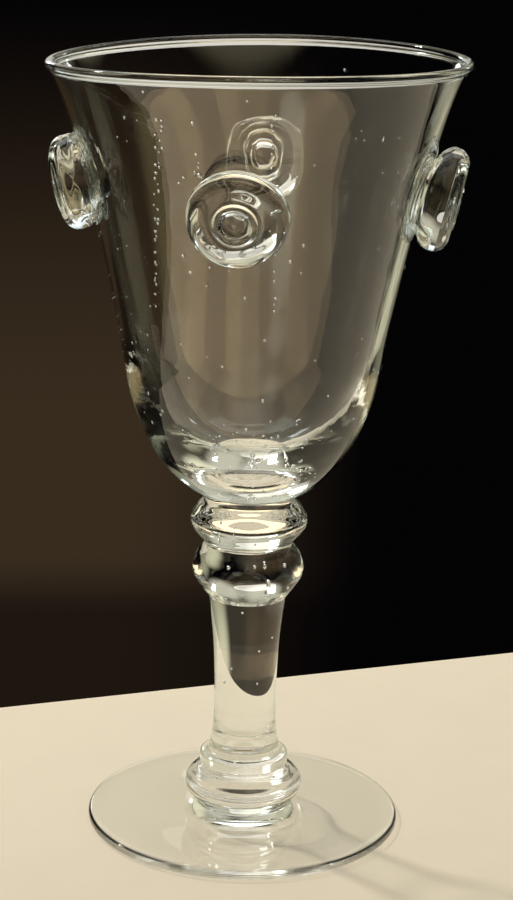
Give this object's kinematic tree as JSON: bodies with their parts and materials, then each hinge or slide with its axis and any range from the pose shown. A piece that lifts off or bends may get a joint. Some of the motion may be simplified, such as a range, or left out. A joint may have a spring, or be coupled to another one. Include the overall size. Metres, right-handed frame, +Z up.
{
  "type": "stemmed water goblet",
  "caption": "Clear hand-worked glass goblet: deep flared bowl with applied stamped discs, knopped stem and thin round foot; holds a drink and stands on a table.",
  "frame": {"origin": "centre of the foot's flat underside, on the table", "axes": "+Z up along the stem to the rim; -Y towards the front prunt; +X to the right-hand prunt"},
  "size_m": [0.0993, 0.0988, 0.19],
  "materials": {
    "bowl_glass": "clear hand-blown soda-lime glass, fire-polished",
    "stem_glass": "clear solid glass, fire-polished, with small seeds",
    "foot_glass": "clear flat-pressed glass with a soft edge",
    "prunt_glass": "clear glass, stamped while hot"
  },
  "bodies": {
    "root": {"foot": "foot_glass", "base_knop": "stem_glass", "base_collar": "stem_glass", "stem": "stem_glass", "lower_knop": "stem_glass", "upper_knop": "stem_glass", "bowl": "bowl_glass", "prunt_front": "prunt_glass", "prunt_right": "prunt_glass", "prunt_back": "prunt_glass", "prunt_left": "prunt_glass"}
  },
  "joints": []
}
